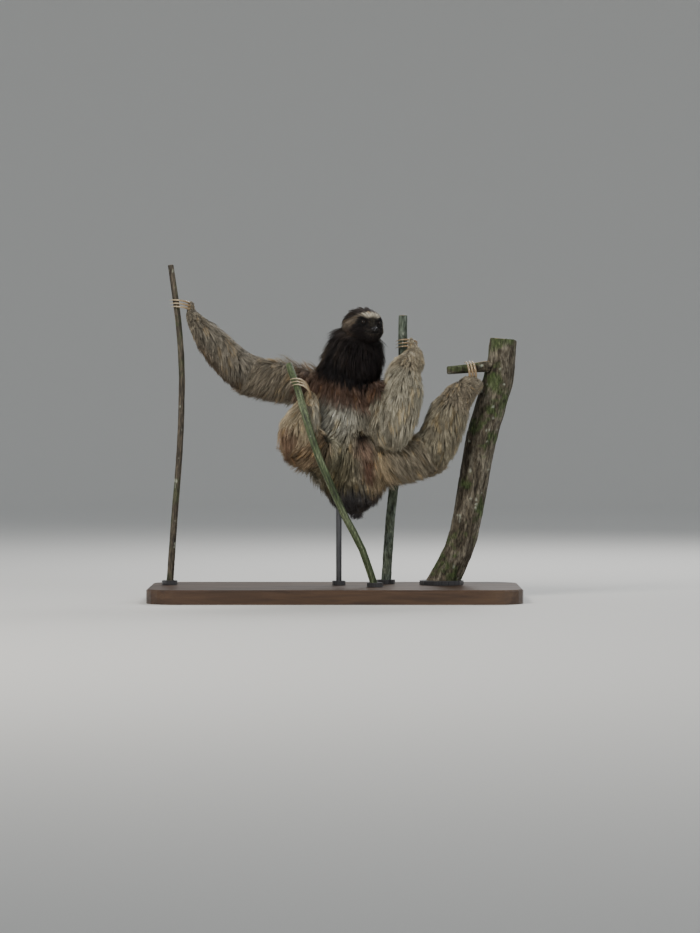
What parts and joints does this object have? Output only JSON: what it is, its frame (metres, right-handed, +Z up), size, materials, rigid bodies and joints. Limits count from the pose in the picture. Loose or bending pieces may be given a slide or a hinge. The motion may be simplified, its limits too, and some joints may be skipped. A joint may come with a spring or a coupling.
{
  "type": "three-toed sloth",
  "caption": "Life-size three-toed sloth with a dark throat and pale brow, gripping cut lengths of trunk, branch, pole and vine with hooked claws, on a display stand.",
  "frame": {"origin": "centre of the stand base's underside", "axes": "+Z up; the sloth's belly and face look towards -Y, and its own left side is at +X"},
  "size_m": [0.78, 0.36, 0.7069],
  "materials": {
    "coat_grey": "long coarse grey-tan hair, matt",
    "coat_chest": "rusty brown hair, matt",
    "coat_dark": "near-black brown hair, matt",
    "coat_face": "short pale hair with a dark mask, matt",
    "claw_horn": "golden tan horn, slightly glossy",
    "nose_skin": "dark bare skin, slightly moist",
    "eye_dark": "dark brown, wet and glossy",
    "bark": "rough grey-brown bark with moss",
    "vine_green": "grey-green stem, matt",
    "base_wood": "dark stained wood, satin",
    "rod_steel": "darkened steel, satin"
  },
  "bodies": {
    "root": {"head": "coat_face", "ear_left": "coat_face", "ear_right": "coat_face", "eye_left": "eye_dark", "eye_right": "eye_dark", "nose": "nose_skin", "neck": "coat_dark", "tail": "coat_dark", "chest": "coat_chest", "belly": "coat_grey", "rump": "coat_grey", "upper_arm_left": "coat_grey", "upper_arm_right": "coat_grey", "forearm_left": "coat_grey", "forearm_right": "coat_grey", "hand_left": "coat_grey", "hand_right": "coat_grey", "thigh_left": "coat_grey", "thigh_right": "coat_grey", "shin_left": "coat_grey", "shin_right": "coat_grey", "foot_left": "coat_grey", "foot_right": "coat_grey", "claw_hand_left_1": "claw_horn", "claw_hand_left_2": "claw_horn", "claw_hand_left_3": "claw_horn", "claw_hand_right_1": "claw_horn", "claw_hand_right_2": "claw_horn", "claw_hand_right_3": "claw_horn", "claw_foot_left_1": "claw_horn", "claw_foot_left_2": "claw_horn", "claw_foot_left_3": "claw_horn", "claw_foot_right_1": "claw_horn", "claw_foot_right_2": "claw_horn", "claw_foot_right_3": "claw_horn", "perch_trunk": "bark", "perch_branch": "bark", "perch_vine_hand": "bark", "perch_pole": "vine_green", "perch_vine_foot": "vine_green", "stand_base": "base_wood", "stand_rod": "rod_steel", "stand_socket_trunk": "rod_steel", "stand_socket_pole": "rod_steel", "stand_socket_vine_foot": "rod_steel", "stand_socket_vine_hand": "rod_steel", "stand_socket_rod": "rod_steel"}
  },
  "joints": []
}
